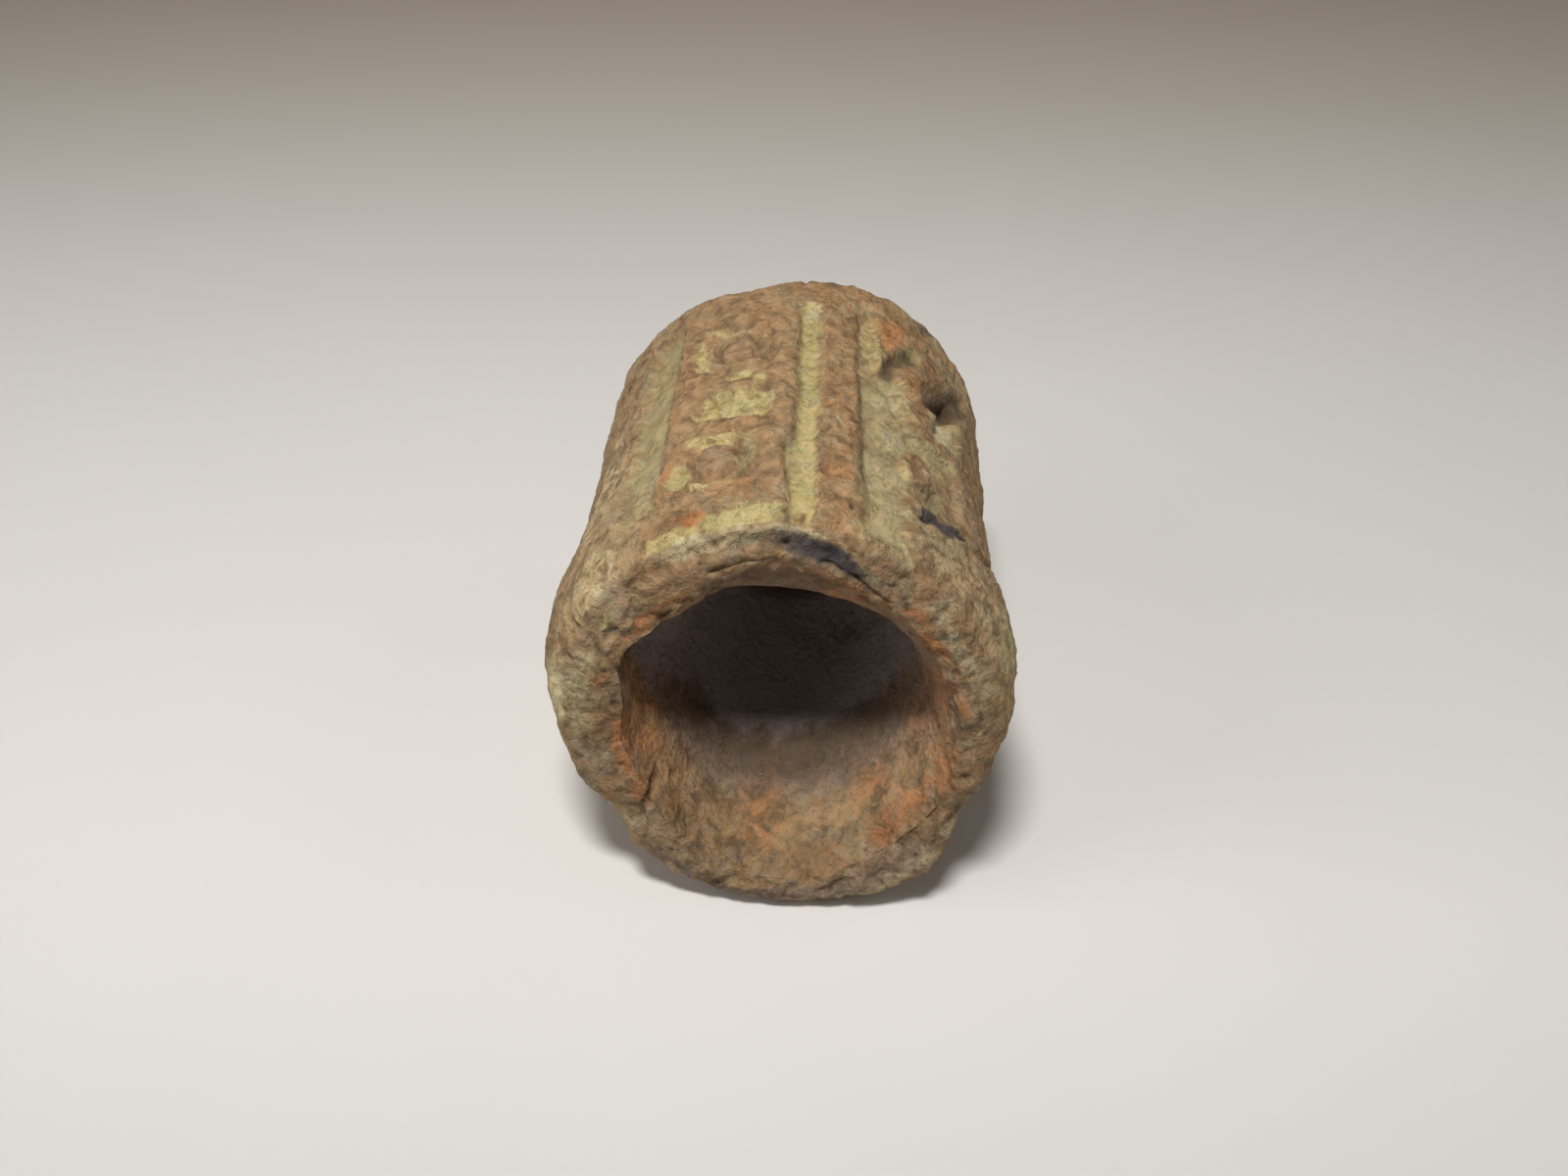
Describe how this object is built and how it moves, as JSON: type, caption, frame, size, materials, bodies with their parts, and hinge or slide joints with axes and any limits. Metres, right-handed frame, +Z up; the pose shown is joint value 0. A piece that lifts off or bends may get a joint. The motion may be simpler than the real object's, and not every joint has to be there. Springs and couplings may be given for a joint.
{
  "type": "cylinder seal",
  "caption": "Short fired-clay cylinder seal on its side: carved barrel, flared mouth that leans back, funnel-shaped hollow and a narrow bore right through.",
  "frame": {"origin": "middle of the narrow resting flat under the barrel, on the ground", "axes": "+Z up, +Y along the barrel from the mouth to the far end, +X to the right seen from the mouth"},
  "size_m": [0.0439, 0.0519, 0.0408],
  "materials": {
    "fired_clay": "matt, worn and gritty, reddish tan on the raised carving with olive-yellow earth in the cuts"
  },
  "bodies": {
    "root": {"seal": "fired_clay"}
  },
  "joints": []
}
